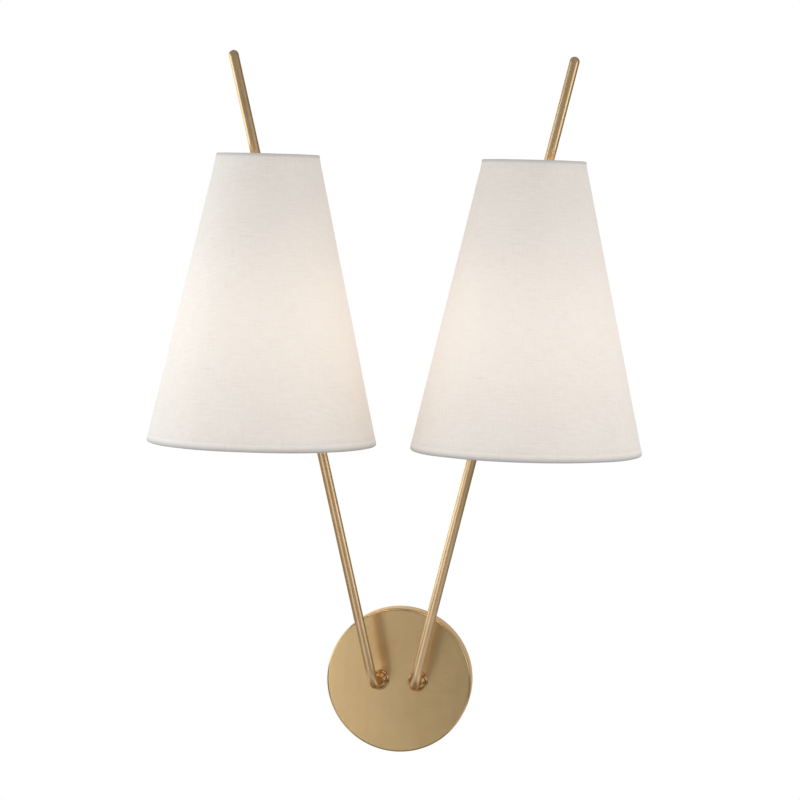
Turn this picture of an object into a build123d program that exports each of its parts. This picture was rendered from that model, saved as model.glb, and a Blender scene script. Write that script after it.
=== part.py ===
"""Double arm wall sconce: two bent brass arms on a round canopy, each with a cone shade of linen.

Millimetres, +Z up. The wall is the plane Y = 0 and the light stands out of it towards -Y.
The origin is the centre of the canopy's back face. The right-hand arm, lamp and shade are drawn
and then mirrored in the plane X = 0 for the left-hand ones.
"""
from build123d import *
import math
import os

# ---------------------------------------------------------------- driving dimensions
# canopy plate
plate_diameter = 120.0
plate_depth = 18.0
plate_wall = 1.2
plate_edge_radius = 1.8

# steel plate that is screwed to the wall box
mount_gap = 2.3                # between its edge and the canopy's rim
mount_thickness = 1.5
slot_spacing = 79.4            # centres; the slots reach the 69.9 and the 88.9 mm box screws
slot_length = 24.4             # end to end
slot_width = 4.8
supply_hole_diameter = 14.0
supply_hole_height = 14.0
lug_width = 12.0
lug_foot = 8.0                 # of each angle lug, along the plate
lug_height = 9.5               # above the plate's front
lug_thickness = 1.2
rim_screw_angle = 30.0         # below the level line, on each side
rim_screw_diameter = 4.0
rim_screw_length = 6.0
rim_screw_depth = 7.0          # from the wall
rim_screw_recess = 0.2         # of its end, below the canopy's rim
rim_screw_socket_depth = 1.8
ground_screw_drop = 32.0       # below the centre
ground_boss_diameter = 9.0
ground_boss_height = 2.5
ground_screw_diameter = 4.0
ground_screw_end_gap = 0.2     # from its end to the wall
ground_head_diameter = 8.0
ground_head_height = 3.0

# terminal block and leads
block_width = 30.0
block_depth = 12.0
block_height = 13.0
block_bottom = 25.0            # above the centre
block_chamfer = 0.8
pole_spacing = 9.0
terminal_screw_diameter = 3.0
terminal_screw_length = 3.2
terminal_screw_recess = 0.8
lead_diameter = 1.8
lead_entry_length = 5.5        # straight run of each core below the block
lead_pair_spacing = 2.2
live_layer = 4.0               # distance of each layer of leads from the wall
neutral_layer = 7.0
ground_layer = 10.2
lead_bend_radius = 2.2
lead_bend_share = 0.9          # of the run behind the nipple, where that is the shorter
ground_lead_run = 8.0
ground_lead_bend_radius = 3.0

# arms
arm_spacing = 32.0             # between the two collars
arm_diameter = 8.0
arm_wall = 1.0
arm_stand_off = 36.0           # from the plate's face to the tube's centre line
arm_bend_radius = 15.0
arm_outward_angle = 13.2       # from plumb, seen from the front
arm_forward_angle = 5.0        # from plumb, seen from the side
arm_tip_height = 509.0         # tube's end above the canopy's centre
nipple_wall = 1.0
nipple_back = 9.0              # its rear end's distance from the wall
nipple_front = 3.2             # how far it reaches past the plate's face, inside the collar
running_clearance = 0.08       # radial, between a turning piece and its hole
collar_flange_width = 3.25     # outwards from the nipple
collar_flange_height = 2.2
collar_groove_wall = 0.4
collar_groove_height = 0.8
collar_neck_wall = 0.8
collar_height = 6.0
collar_easing = 0.6            # of the flange's and the neck's corners
washer_width = 3.0
washer_thickness = 1.0
locknut_wall = 2.0             # at its flats
locknut_thickness = 3.0
tip_plug_length = 9.0
cable_diameter = 4.0
cable_bend_radius = 2.6

# lamp and its holder
lamp_spacing = 212.0           # between the two lamp axes
lamp_stand_off = 99.0          # from the wall to the lamp axis
bracket_height = 216.0         # of the cross tube, above the canopy's centre
sleeve_wall = 2.0
sleeve_length = 14.0
cross_tube_diameter = 8.0
cross_tube_wall = 1.0
cable_hole_diameter = 5.0
holder_block_diameter = 15.0
holder_block_height = 16.0
holder_block_chamfer = 1.0
block_socket_depth = 3.5
holder_nipple_diameter = 8.0
holder_nipple_wall = 1.4
holder_nipple_length = 15.0
cup_diameter = 28.0
cup_height = 16.0
cup_wall = 0.8
cup_shoulder = 7.0
shoulder_width = 2.6           # outwards from the thread
shoulder_height = 2.5
holder_thread_diameter = 27.8
holder_thread_height = 19.5
holder_thread_chamfer = 1.0
holder_floor_depth = 4.0       # of the contact's seat, below the shoulder
screw_shell_diameter = 15.0
screw_shell_wall = 0.4
screw_shell_height = 20.0
shell_foot_gap = 1.0           # from the shell's turned-in foot to the contact
contact_diameter = 7.0
contact_thickness = 0.6
bulb_cap_height = 22.0
bulb_cap_wall = 0.35
bulb_cap_chamfer = 1.0
bulb_contact_height = 2.4
bulb_contact_diameter = 8.0
bulb_contact_rim = 0.6         # straight part below the cap
bulb_contact_plug = 1.5        # part inside the cap
bulb_diameter = 35.0
bulb_glass_height = 76.0
bulb_neck_diameter = 12.4
bulb_neck_depth = 5.0          # of the glass inside the cap
bulb_belly_height_share = 0.34     # where the glass is widest, along its height
bulb_taper_height_share = 0.8      # and where it draws in to its tip
bulb_taper_width_share = 0.45
glass_wall = 0.8
filament_diameter = 1.6
filament_length = 28.0
filament_circle = 12.0
filament_count = 4
filament_rise = 11.0           # from the cap's top to the filaments' feet
stem_foot_radius = 4.6
stem_radius = 1.4
hub_thickness = 0.8

# shade
shade_bottom_diameter = 184.0
shade_top_diameter = 82.0
shade_height = 228.0
shade_bottom_height = 202.0    # above the canopy's centre
cover_thickness = 0.6
liner_thickness = 0.5
hem_thickness = 0.6
hem_width = 9.0
ring_wire_diameter = 3.0
spoke_wire_diameter = 2.4
spoke_count = 3
spoke_overlap = 0.8            # of a spoke's end inside the fitter ring
spoke_top_gap = 0.2            # from a spoke's end to the fitter ring's top
spoke_tilt_allowance = 1.15    # height of its slanted end, in wire diameters
fitter_width = 4.2
fitter_thickness = 1.5
fitter_clearance = 0.3
skin_gap = 0.05                # between the wires and the hem that holds them
retaining_ring_width = 5.1     # outwards from the thread
retaining_ring_height = 6.0
retaining_ring_grips = 12
grip_diameter = 3.0

# ---------------------------------------------------------------- places worked out from them
plate_radius = plate_diameter / 2
plate_inside = plate_depth - plate_wall
mount_radius = plate_radius - plate_wall - mount_gap
nipple_diameter = arm_diameter + 2 * nipple_wall
collar_flange_diameter = nipple_diameter + 2 * collar_flange_width
collar_groove_diameter = nipple_diameter + 2 * collar_groove_wall
collar_neck_diameter = nipple_diameter + 2 * collar_neck_wall
washer_diameter = nipple_diameter + 2 * washer_width
locknut_flats = nipple_diameter + 2 * locknut_wall
sleeve_diameter = arm_diameter + 2 * sleeve_wall
shoulder_diameter = holder_thread_diameter + 2 * shoulder_width
retaining_ring_diameter = holder_thread_diameter + 2 * retaining_ring_width
arm_x = arm_spacing / 2
arm_y = plate_depth + arm_stand_off
outward_slope = math.tan(math.radians(arm_outward_angle))
forward_slope = math.tan(math.radians(arm_forward_angle))
arm_direction = Vector(outward_slope, -forward_slope, 1).normalized()
lamp_x = lamp_spacing / 2
to_front = Vector(0, -1, 0)
upwards = Vector(0, 0, 1)


def arm_at(height):
    """The point of the right-hand arm's centre line at a height."""
    return Vector(arm_x + height * outward_slope, -arm_y - height * forward_slope, height)


arm_tip = arm_at(arm_tip_height)
arm_root = Vector(arm_x, 0, 0)
arm_back = Vector(arm_x, -nipple_back, 0)
arm_corner = arm_at(0)
lamp_foot = Vector(lamp_x, -lamp_stand_off, 0)
bracket_start = arm_at(bracket_height)
bracket_end = lamp_foot + upwards * bracket_height
bracket_direction = (bracket_end - bracket_start).normalized()
bracket_azimuth = math.degrees(math.atan2(-bracket_direction.Y, -bracket_direction.X))

block_top = bracket_height + holder_block_height / 2
shoulder_base = block_top + cup_height
shoulder_top = shoulder_base + shoulder_height
thread_top = shoulder_top + holder_thread_height
holder_floor = shoulder_base - holder_floor_depth
contact_top = holder_floor + contact_thickness
cap_bottom = contact_top + bulb_contact_height
cap_top = cap_bottom + bulb_cap_height
screw_shell_bore = screw_shell_diameter / 2 - screw_shell_wall
bulb_cap_radius = screw_shell_bore - running_clearance
glass_top = cap_top + bulb_glass_height
holder_thread_radius = holder_thread_diameter / 2
shade_top_height = shade_bottom_height + shade_height
shade_slope = (shade_bottom_diameter - shade_top_diameter) / 2 / shade_height
across = math.sqrt(1 + shade_slope ** 2)       # a thickness square to the cone, measured level


def shade_radius(height):
    """The shade's outer radius at a height above the canopy's centre."""
    return shade_bottom_diameter / 2 - (height - shade_bottom_height) * shade_slope


# ---------------------------------------------------------------- shared ways of making a piece
def profile_plane(origin, direction):
    """A plane through an axis: its x runs outwards from the axis and its y along it."""
    side = Vector(1, 0, 0)
    radial = (side - direction * side.dot(direction)).normalized()
    return Plane(origin=origin, x_dir=radial, z_dir=radial.cross(direction))


def turned(outline, origin=lamp_foot, direction=upwards):
    """A turned piece: an outline of (radius, distance along the axis) points, spun on the axis."""
    with BuildPart() as piece:
        with BuildSketch(profile_plane(origin, direction)):
            with BuildLine():
                Polyline(*outline, close=True)
            make_face()
        revolve(axis=Axis(origin, direction))
    return piece


def swept(points, radii, outer_diameter, bore_diameter=0.0):
    """A wire or a tube along straight runs joined by tangent arcs."""
    start = Vector(points[0])
    with BuildPart() as piece:
        with BuildLine() as route:
            FilletPolyline(*points, radius=radii)
        with BuildSketch(Plane(origin=start, z_dir=Vector(points[1]) - start)):
            Circle(outer_diameter / 2)
            if bore_diameter:
                Circle(bore_diameter / 2, mode=Mode.SUBTRACT)
        sweep(path=route.wire())
    return piece


def write(piece, name):
    """Label one piece and write it."""
    piece.part.label = name
    export_step(piece.part, f"parts/{name}.step")


def write_pair(piece, name):
    """Write the right-hand piece and its mirror image for the left-hand side."""
    write(piece, f"right_{name}")
    with BuildPart() as other:
        add(mirror(piece.part, about=Plane.YZ, mode=Mode.PRIVATE))
    write(other, f"left_{name}")


os.makedirs("parts", exist_ok=True)

# ---------------------------------------------------------------- canopy plate
rim_directions = [Vector(side * math.cos(math.radians(rim_screw_angle)), 0,
                         -math.sin(math.radians(rim_screw_angle))) for side in (-1, 1)]


def rim_plane(direction, radius):
    """A plane square to a rim screw, at a radius from the canopy's centre."""
    return Plane(origin=direction * radius + to_front * rim_screw_depth, z_dir=direction)


with BuildPart() as back_plate:
    with BuildSketch(Plane.XZ):
        Circle(plate_radius)
    extrude(amount=plate_depth)
    front_edge = back_plate.faces().sort_by(Axis.Y)[0].edges()
    fillet(front_edge, plate_edge_radius)
    offset(amount=-plate_wall, openings=back_plate.faces().sort_by(Axis.Y)[-1])
    with BuildSketch(Plane.XZ):
        with Locations((-arm_x, 0), (arm_x, 0)):
            Circle(nipple_diameter / 2 + running_clearance)
    extrude(amount=plate_depth, mode=Mode.SUBTRACT)
    for rim_direction in rim_directions:
        with BuildSketch(rim_plane(rim_direction, plate_radius - 2 * plate_wall)):
            Circle(rim_screw_diameter / 2)
        extrude(amount=3 * plate_wall, mode=Mode.SUBTRACT)
write(back_plate, "back_plate")

# ---------------------------------------------------------------- mounting plate
with BuildPart() as mounting_plate:
    with BuildSketch(Plane.XZ):
        Circle(mount_radius)
        with Locations((-slot_spacing / 2, 0), (slot_spacing / 2, 0)):
            SlotOverall(slot_length, slot_width, mode=Mode.SUBTRACT)
        with Locations((0, supply_hole_height)):
            Circle(supply_hole_diameter / 2, mode=Mode.SUBTRACT)
    extrude(amount=mount_thickness)
    with BuildSketch(Plane.XZ.offset(mount_thickness)):
        with Locations((0, -ground_screw_drop)):
            Circle(ground_boss_diameter / 2)
    extrude(amount=ground_boss_height)
    with BuildSketch(Plane.XZ):
        with Locations((0, -ground_screw_drop)):
            Circle(ground_screw_diameter / 2)
    extrude(amount=mount_thickness + ground_boss_height, mode=Mode.SUBTRACT)
write(mounting_plate, "mounting_plate")

lug_face = math.sqrt(mount_radius ** 2 - lug_width ** 2 / 4)      # its outer face, out from the centre
with BuildPart() as rim_lugs:
    for rim_direction in rim_directions:
        lug_plane = Plane(origin=rim_direction * lug_face + to_front * mount_thickness,
                          x_dir=rim_direction, z_dir=to_front)
        with BuildSketch(lug_plane):
            with Locations((-lug_foot / 2, 0)):
                Rectangle(lug_foot, lug_width)
        extrude(amount=lug_thickness)
        with BuildSketch(lug_plane):
            with Locations((-lug_thickness / 2, 0)):
                Rectangle(lug_thickness, lug_width)
        extrude(amount=lug_height)
        with BuildSketch(rim_plane(rim_direction, lug_face - 2 * lug_thickness)):
            Circle(rim_screw_diameter / 2)
        extrude(amount=3 * lug_thickness, mode=Mode.SUBTRACT)
write(rim_lugs, "rim_lugs")

with BuildPart() as rim_screws:
    for rim_direction in rim_directions:
        with BuildSketch(rim_plane(rim_direction, plate_radius - rim_screw_length)):
            Circle(rim_screw_diameter / 2)
        extrude(amount=rim_screw_length - rim_screw_recess)
        screw_end = plate_radius - rim_screw_recess
        with BuildSketch(rim_plane(rim_direction, screw_end - rim_screw_socket_depth)):
            RegularPolygon(rim_screw_diameter / 4, 6)
        extrude(amount=rim_screw_socket_depth, mode=Mode.SUBTRACT)
write(rim_screws, "rim_screws")

ground_seat = mount_thickness + ground_boss_height
write(turned(
    [(0, ground_screw_end_gap), (ground_screw_diameter / 2, ground_screw_end_gap),
     (ground_screw_diameter / 2, ground_seat),
     (ground_head_diameter / 2, ground_seat), (ground_head_diameter / 2, ground_seat + ground_head_height),
     (0, ground_seat + ground_head_height)],
    Vector(0, 0, -ground_screw_drop), to_front), "ground_screw")

# ---------------------------------------------------------------- terminal block and leads
block_back = mount_thickness
terminal_screw_seat = block_back + block_depth - terminal_screw_length - terminal_screw_recess
poles = (-pole_spacing, 0, pole_spacing)
with BuildPart() as terminal_block:
    with BuildSketch(Plane.XZ.offset(block_back)):
        with Locations((0, block_bottom + block_height / 2)):
            Rectangle(block_width, block_height)
    extrude(amount=block_depth)
    chamfer(terminal_block.edges().filter_by(Axis.Z), block_chamfer)
    with BuildSketch(Plane.XZ.offset(terminal_screw_seat)):
        with Locations(*[(pole, block_bottom + block_height / 2) for pole in poles]):
            Circle(terminal_screw_diameter / 2 + running_clearance)
    extrude(amount=terminal_screw_length + terminal_screw_recess, mode=Mode.SUBTRACT)
write(terminal_block, "terminal_block")

with BuildPart() as terminal_screws:
    with BuildSketch(Plane.XZ.offset(terminal_screw_seat)):
        with Locations(*[(pole, block_bottom + block_height / 2) for pole in poles]):
            Circle(terminal_screw_diameter / 2)
    extrude(amount=terminal_screw_length)
write(terminal_screws, "terminal_screws")


def lead(side, offset_x, pole, layer):
    """One core: out of an arm cable's end, across the canopy in its own layer, up into the block."""
    start_x = side * arm_x + offset_x
    knee = block_bottom - lead_entry_length
    entry_x = pole + side * lead_pair_spacing / 2
    return swept([(start_x, -nipple_back, 0), (start_x, -layer, 0), (entry_x, -layer, knee),
                  (entry_x, -layer, block_bottom)],
                 [min(lead_bend_radius, lead_bend_share * (nipple_back - layer)), lead_bend_radius],
                 lead_diameter)


def write_leads(name, pole, offset_x, layer):
    """Both arms' cores of one pole, as one group of two solids."""
    with BuildPart() as leads:
        for side in (-1, 1):
            add(lead(side, offset_x, pole, layer).part)
    write(leads, name)


write_leads("live_leads", -pole_spacing, -lead_pair_spacing / 2, live_layer)
write_leads("neutral_leads", pole_spacing, lead_pair_spacing / 2, neutral_layer)
lead_start = ground_head_diameter / 2 - ground_screw_drop
ground_start_y = -ground_seat - ground_head_height / 2
write(swept([(0, ground_start_y, lead_start), (0, ground_start_y, lead_start + ground_lead_run),
             (0, -ground_layer, lead_start + 2 * ground_lead_run), (0, -ground_layer, block_bottom)],
            [ground_lead_bend_radius, ground_lead_bend_radius], lead_diameter), "ground_lead")

# ---------------------------------------------------------------- arms
with BuildPart() as arm_tube:
    with BuildLine() as arm_route:
        FilletPolyline(arm_back, arm_corner, arm_tip, radius=arm_bend_radius)
    with BuildSketch(Plane(origin=arm_back, z_dir=to_front)):
        Circle(arm_diameter / 2)
        Circle(arm_diameter / 2 - arm_wall, mode=Mode.SUBTRACT)
    sweep(path=arm_route.wire())
    with BuildSketch(Plane(origin=bracket_start, z_dir=bracket_direction)):
        Circle(cable_hole_diameter / 2)
    extrude(amount=arm_diameter, mode=Mode.SUBTRACT)
write_pair(arm_tube, "arm_tube")

nipple_top = plate_depth + nipple_front
write_pair(turned(
    [(arm_diameter / 2, nipple_back), (nipple_diameter / 2, nipple_back),
     (nipple_diameter / 2, nipple_top), (arm_diameter / 2, nipple_top)],
    arm_root, to_front), "threaded_nipple")

flange_top = plate_depth + collar_flange_height
groove_top = flange_top + collar_groove_height
collar_top = plate_depth + collar_height
write_pair(turned(
    [(nipple_diameter / 2, plate_depth), (collar_flange_diameter / 2, plate_depth),
     (collar_flange_diameter / 2, flange_top - collar_easing),
     (collar_flange_diameter / 2 - collar_easing, flange_top), (collar_groove_diameter / 2, flange_top),
     (collar_groove_diameter / 2, groove_top), (collar_neck_diameter / 2, groove_top),
     (collar_neck_diameter / 2, collar_top - collar_easing),
     (collar_neck_diameter / 2 - collar_easing, collar_top), (arm_diameter / 2, collar_top),
     (arm_diameter / 2, nipple_top), (nipple_diameter / 2, nipple_top)],
    arm_root, to_front), "collar")

washer_back = plate_inside - washer_thickness
write_pair(turned(
    [(nipple_diameter / 2, washer_back), (washer_diameter / 2, washer_back),
     (washer_diameter / 2, plate_inside), (nipple_diameter / 2, plate_inside)],
    arm_root, to_front), "swivel_washer")

with BuildPart() as locknut:
    with BuildSketch(Plane.XZ.offset(washer_back - locknut_thickness)):
        with Locations((arm_x, 0)):
            RegularPolygon(locknut_flats / 2, 6, major_radius=False)
            Circle(nipple_diameter / 2, mode=Mode.SUBTRACT)
    extrude(amount=locknut_thickness)
write_pair(locknut, "locknut")

tube_bore = arm_diameter / 2 - arm_wall
with BuildPart() as tip_cap:
    with BuildSketch(profile_plane(arm_tip, arm_direction)):
        with BuildLine():
            Line((0, -tip_plug_length), (tube_bore, -tip_plug_length))
            Line((tube_bore, -tip_plug_length), (tube_bore, 0))
            Line((tube_bore, 0), (arm_diameter / 2, 0))
            ThreePointArc((arm_diameter / 2, 0),
                          (arm_diameter / 2 * math.sqrt(0.5), arm_diameter / 2 * math.sqrt(0.5)),
                          (0, arm_diameter / 2))
            Line((0, arm_diameter / 2), (0, -tip_plug_length))
        make_face()
    revolve(axis=Axis(arm_tip, arm_direction))
write_pair(tip_cap, "tip_cap")

# ---------------------------------------------------------------- bracket inside the shade
sleeve_start = bracket_start - arm_direction * (sleeve_length / 2)
with BuildPart() as arm_sleeve:
    with BuildSketch(Plane(origin=sleeve_start, z_dir=arm_direction)):
        Circle(sleeve_diameter / 2)
        Circle(arm_diameter / 2, mode=Mode.SUBTRACT)
    extrude(amount=sleeve_length)
    with BuildSketch(Plane(origin=bracket_start, z_dir=bracket_direction)):
        Circle(cable_hole_diameter / 2)
    extrude(amount=sleeve_diameter, mode=Mode.SUBTRACT)
write_pair(arm_sleeve, "arm_sleeve")

bracket_length = (bracket_end - bracket_start).length
cross_reach = bracket_length - holder_block_diameter / 2 + block_socket_depth
cross_bore = cross_tube_diameter / 2 - cross_tube_wall
with BuildPart() as cross_tube:
    with BuildSketch(Plane(origin=bracket_start, z_dir=bracket_direction)):
        Circle(cross_tube_diameter / 2)
        Circle(cross_bore, mode=Mode.SUBTRACT)
    extrude(amount=cross_reach)
    with BuildSketch(Plane(origin=sleeve_start - arm_direction * sleeve_length, z_dir=arm_direction)):
        Circle(sleeve_diameter / 2)
    extrude(amount=3 * sleeve_length, mode=Mode.SUBTRACT)
write_pair(cross_tube, "cross_tube")

nipple_base = bracket_height + cross_tube_diameter / 2
with BuildPart() as holder_block:
    with BuildSketch(Plane(origin=lamp_foot + upwards * (bracket_height - holder_block_height / 2))):
        Circle(holder_block_diameter / 2)
    extrude(amount=holder_block_height)
    chamfer(holder_block.edges().filter_by(GeomType.CIRCLE), holder_block_chamfer)
    socket_start = bracket_end - bracket_direction * holder_block_diameter
    with BuildSketch(Plane(origin=socket_start, z_dir=bracket_direction)):
        Circle(cross_tube_diameter / 2)
    extrude(amount=cross_reach - bracket_length + holder_block_diameter, mode=Mode.SUBTRACT)
    socket_end = bracket_start + bracket_direction * cross_reach
    with BuildSketch(Plane(origin=socket_end, z_dir=bracket_direction)):
        Circle(cross_bore)
    extrude(amount=bracket_length - cross_reach + cross_bore, mode=Mode.SUBTRACT)
    with BuildSketch(Plane(origin=bracket_end)):
        Circle(cross_bore)
    extrude(amount=holder_block_height, mode=Mode.SUBTRACT)
    with BuildSketch(Plane(origin=lamp_foot + upwards * nipple_base)):
        Circle(holder_nipple_diameter / 2)
    extrude(amount=holder_block_height, mode=Mode.SUBTRACT)
write_pair(holder_block, "holder_block")

nipple_radius = holder_nipple_diameter / 2
nipple_bore = nipple_radius - holder_nipple_wall
holder_nipple_top = nipple_base + holder_nipple_length
write_pair(turned(
    [(nipple_bore, nipple_base), (nipple_radius, nipple_base),
     (nipple_radius, holder_nipple_top), (nipple_bore, holder_nipple_top)]), "holder_nipple")

cable_end = lamp_foot + upwards * holder_nipple_top
write_pair(swept(
    [arm_back, arm_corner, bracket_start, bracket_end, cable_end],
    [arm_bend_radius, cable_bend_radius, cable_bend_radius], cable_diameter), "arm_cable")

# ---------------------------------------------------------------- lampholder
cup_radius = cup_diameter / 2
write_pair(turned(
    [(nipple_radius, block_top), (cup_shoulder, block_top), (cup_radius, block_top + cup_shoulder),
     (cup_radius, shoulder_base), (cup_radius - cup_wall, shoulder_base),
     (cup_radius - cup_wall, block_top + cup_shoulder + cup_wall / 2),
     (cup_shoulder - cup_wall / 2, block_top + cup_wall), (nipple_radius, block_top + cup_wall)]),
    "holder_cup")

body_radius = cup_radius - cup_wall
body_base = block_top + cup_shoulder + cup_wall
shell_radius = screw_shell_diameter / 2
write_pair(turned(
    [(nipple_radius, body_base), (body_radius, body_base), (body_radius, shoulder_base),
     (shoulder_diameter / 2, shoulder_base), (shoulder_diameter / 2, shoulder_top),
     (holder_thread_radius, shoulder_top), (holder_thread_radius, thread_top - holder_thread_chamfer),
     (holder_thread_radius - holder_thread_chamfer, thread_top), (shell_radius, thread_top),
     (shell_radius, holder_floor),
     (0, holder_floor), (0, holder_nipple_top), (nipple_radius, holder_nipple_top)]), "holder_body")

shell_top = holder_floor + screw_shell_height
shell_foot = contact_diameter / 2 + shell_foot_gap
write_pair(turned(
    [(shell_foot, holder_floor), (shell_radius, holder_floor), (shell_radius, shell_top),
     (screw_shell_bore, shell_top), (screw_shell_bore, holder_floor + screw_shell_wall),
     (shell_foot, holder_floor + screw_shell_wall)]), "screw_shell")
write_pair(turned(
    [(0, holder_floor), (contact_diameter / 2, holder_floor), (contact_diameter / 2, contact_top),
     (0, contact_top)]), "centre_contact")

# ---------------------------------------------------------------- candle lamp
cap_bore = bulb_cap_radius - bulb_cap_wall
cap_shoulder = cap_bottom + bulb_cap_chamfer
write_pair(turned(
    [(bulb_contact_diameter / 2, cap_bottom), (bulb_cap_radius - bulb_cap_chamfer, cap_bottom),
     (bulb_cap_radius, cap_shoulder), (bulb_cap_radius, cap_top), (cap_bore, cap_top),
     (cap_bore, cap_shoulder), (cap_bore - bulb_cap_chamfer + bulb_cap_wall, cap_bottom + bulb_cap_wall),
     (bulb_contact_diameter / 2, cap_bottom + bulb_cap_wall)]), "bulb_cap")
write_pair(turned(
    [(0, contact_top), (bulb_contact_diameter / 4, contact_top),
     (bulb_contact_diameter / 2, cap_bottom - bulb_contact_rim),
     (bulb_contact_diameter / 2, cap_bottom + bulb_contact_plug), (0, cap_bottom + bulb_contact_plug)]),
    "bulb_contact")


def glass_profile(inset):
    """Half the lamp's outline, drawn in from the outer surface by the glass thickness."""
    neck = bulb_neck_diameter / 2 - inset
    belly = bulb_diameter / 2 - inset
    foot = cap_top - bulb_neck_depth
    with BuildLine(Plane.XY) as outline:
        Polyline((0, foot), (neck, foot), (neck, cap_top))
        Spline((neck, cap_top), (belly, cap_top + bulb_belly_height_share * bulb_glass_height),
               (bulb_taper_width_share * belly, cap_top + bulb_taper_height_share * bulb_glass_height),
               (0, glass_top - 2 * inset), tangents=[(0.5, 1), (-1, 1)])
        Line((0, glass_top - 2 * inset), (0, foot))
    return outline.wire()


with BuildPart() as bulb_glass:
    with BuildSketch(profile_plane(lamp_foot, upwards)):
        make_face(glass_profile(0.0))
        make_face(glass_profile(glass_wall), mode=Mode.SUBTRACT)
    revolve(axis=Axis(lamp_foot, upwards))
write_pair(bulb_glass, "bulb_glass")

filament_base = cap_top + filament_rise
stem_foot = cap_top - bulb_neck_depth + glass_wall
hub_base = filament_base - hub_thickness
hub_top = filament_base + filament_length
hub_radius = filament_circle / 2 + filament_diameter
with BuildPart() as bulb_filaments:
    with BuildSketch(profile_plane(lamp_foot, upwards)):
        with BuildLine():
            Polyline((0, stem_foot), (stem_foot_radius, stem_foot), (stem_radius, hub_base),
                     (hub_radius, hub_base), (hub_radius, filament_base), (stem_radius, filament_base),
                     (stem_radius, hub_top), (hub_radius, hub_top),
                     (hub_radius, hub_top + hub_thickness), (0, hub_top + hub_thickness), close=True)
        make_face()
    revolve(axis=Axis(lamp_foot, upwards))
    with BuildSketch(Plane(origin=lamp_foot + upwards * filament_base)):
        with PolarLocations(filament_circle / 2, filament_count):
            Circle(filament_diameter / 2)
    extrude(amount=filament_length)
write_pair(bulb_filaments, "bulb_filaments")

# ---------------------------------------------------------------- shade skins
def cone_skin(low, high, outside, thickness):
    """A band of the shade's skin between two heights, some depth in from its outer surface."""
    outer_low = shade_radius(low) - outside * across
    outer_high = shade_radius(high) - outside * across
    inward = thickness * across
    return turned([(outer_low, low), (outer_high, high), (outer_high - inward, high),
                   (outer_low - inward, low)])


hem_depth = cover_thickness + liner_thickness
write_pair(cone_skin(shade_bottom_height, shade_top_height, 0.0, cover_thickness), "shade_cover")
write_pair(cone_skin(shade_bottom_height, shade_top_height, cover_thickness, liner_thickness),
           "shade_liner")
with BuildPart() as shade_hems:
    add(cone_skin(shade_bottom_height, shade_bottom_height + hem_width, hem_depth, hem_thickness).part)
    add(cone_skin(shade_top_height - hem_width, shade_top_height, hem_depth, hem_thickness).part)
write_pair(shade_hems, "shade_hems")

# ---------------------------------------------------------------- shade wires
wire_radius = ring_wire_diameter / 2


def wire_ring_radius(height):
    """The centre-line radius of a wire ring that lies inside the hem."""
    return shade_radius(height) - (hem_depth + hem_thickness + skin_gap + wire_radius) * across


top_ring_height = shade_top_height - wire_radius
bottom_ring_height = shade_bottom_height + wire_radius
with BuildPart() as top_ring:
    with BuildSketch(profile_plane(lamp_foot, upwards)):
        with Locations((wire_ring_radius(top_ring_height), top_ring_height)):
            Circle(wire_radius)
    revolve(axis=Axis(lamp_foot, upwards))
write_pair(top_ring, "top_ring")

fitter_bore = holder_thread_radius + fitter_clearance
fitter_radius = fitter_bore + fitter_width
fitter_top = shoulder_top + fitter_thickness
spoke_start_radius = fitter_radius - spoke_overlap
spoke_start_height = fitter_top - spoke_top_gap - spoke_tilt_allowance * spoke_wire_diameter / 2
bottom_ring_radius = wire_ring_radius(bottom_ring_height)
with BuildPart() as bottom_frame:
    with BuildSketch(profile_plane(lamp_foot, upwards)):
        with Locations((bottom_ring_radius, bottom_ring_height)):
            Circle(wire_radius)
    revolve(axis=Axis(lamp_foot, upwards))
    with BuildSketch(Plane(origin=lamp_foot + upwards * shoulder_top)):
        Circle(fitter_radius)
        Circle(fitter_bore, mode=Mode.SUBTRACT)
    extrude(amount=fitter_thickness)
    for spoke in range(spoke_count):
        azimuth = math.radians(bracket_azimuth + (spoke + 0.5) * 360 / spoke_count)
        outward = Vector(math.cos(azimuth), math.sin(azimuth), 0)
        spoke_start = lamp_foot + outward * spoke_start_radius + upwards * spoke_start_height
        spoke_end = lamp_foot + outward * bottom_ring_radius + upwards * bottom_ring_height
        with BuildSketch(Plane(origin=spoke_start, z_dir=spoke_end - spoke_start)):
            Circle(spoke_wire_diameter / 2)
        extrude(amount=(spoke_end - spoke_start).length)
write_pair(bottom_frame, "bottom_frame")

# ---------------------------------------------------------------- retaining ring
ring_bore = holder_thread_radius + running_clearance
with BuildPart() as retaining_ring:
    with BuildSketch(Plane(origin=lamp_foot + upwards * fitter_top)):
        Circle(retaining_ring_diameter / 2)
        Circle(ring_bore, mode=Mode.SUBTRACT)
        with PolarLocations(retaining_ring_diameter / 2 + grip_diameter / 4, retaining_ring_grips):
            Circle(grip_diameter / 2, mode=Mode.SUBTRACT)
    extrude(amount=retaining_ring_height)
write_pair(retaining_ring, "retaining_ring")
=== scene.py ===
"""Looks of the double arm wall sconce: brass canopy and arms, two linen cone shades with lit lamps.

Metres, +Z up. The wall is the plane Y = 0 and the light stands out of it towards -Y, as in the frame.
"""
import math

import bpy
import numpy as np
from mathutils import Matrix, Vector


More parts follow.
